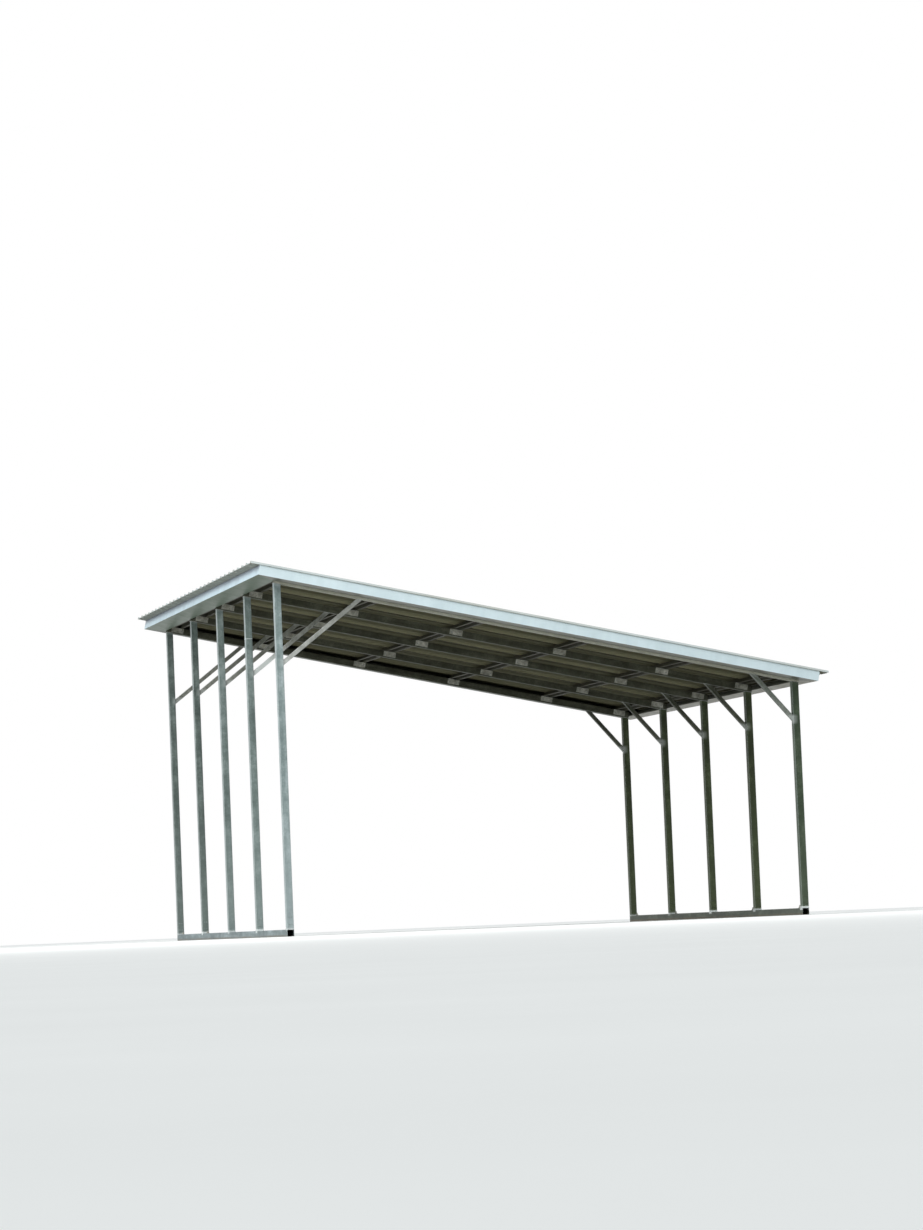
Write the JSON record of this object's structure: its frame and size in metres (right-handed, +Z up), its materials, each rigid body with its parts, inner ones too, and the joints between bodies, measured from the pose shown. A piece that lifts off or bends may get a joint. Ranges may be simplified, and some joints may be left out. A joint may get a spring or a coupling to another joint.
{
  "type": "lean-to carport",
  "caption": "Open steel carport with a single-slope ribbed roof on two rows of square posts, knee braces, hat channel purlins and a folded pale trim.",
  "frame": {"origin": "on the ground below the middle of the roof's outline", "axes": "+X from the high side to the low side, +Y along the ridge-parallel eaves in the direction cars drive in, +Z up"},
  "size_m": [5.344, 6.692, 3.3603],
  "materials": {
    "base_rail": "satin",
    "post": "satin",
    "sleeve": "satin",
    "rafter": "satin",
    "brace": "satin",
    "purlin": "satin",
    "clip": "satin",
    "roof_sheet": "satin",
    "trim": "satin"
  },
  "bodies": {
    "root": {"base_rail_high": "base_rail", "base_rail_low": "base_rail", "brace_high_1": "brace", "brace_high_2": "brace", "brace_high_3": "brace", "brace_high_4": "brace", "brace_high_5": "brace", "brace_low_1": "brace", "brace_low_2": "brace", "brace_low_3": "brace", "brace_low_4": "brace", "brace_low_5": "brace", "front_fascia": "trim", "high_eave_fascia": "trim", "low_eave_fascia": "trim", "post_high_1": "post", "post_high_2": "post", "post_high_3": "post", "post_high_4": "post", "post_high_5": "post", "post_low_1": "post", "post_low_2": "post", "post_low_3": "post", "post_low_4": "post", "post_low_5": "post", "post_sleeves_high": "sleeve", "post_sleeves_low": "sleeve", "purlin_1": "purlin", "purlin_2": "purlin", "purlin_3": "purlin", "purlin_4": "purlin", "purlin_5": "purlin", "purlin_6": "purlin", "purlin_clips_1": "clip", "purlin_clips_2": "clip", "purlin_clips_3": "clip", "purlin_clips_4": "clip", "purlin_clips_5": "clip", "rafter_1": "rafter", "rafter_2": "rafter", "rafter_3": "rafter", "rafter_4": "rafter", "rafter_5": "rafter", "rear_fascia": "trim", "roof_sheet_1": "roof_sheet", "roof_sheet_2": "roof_sheet", "roof_sheet_3": "roof_sheet", "roof_sheet_4": "roof_sheet", "roof_sheet_5": "roof_sheet", "roof_sheet_6": "roof_sheet", "roof_sheet_7": "roof_sheet", "roof_sheet_8": "roof_sheet"}
  },
  "joints": []
}
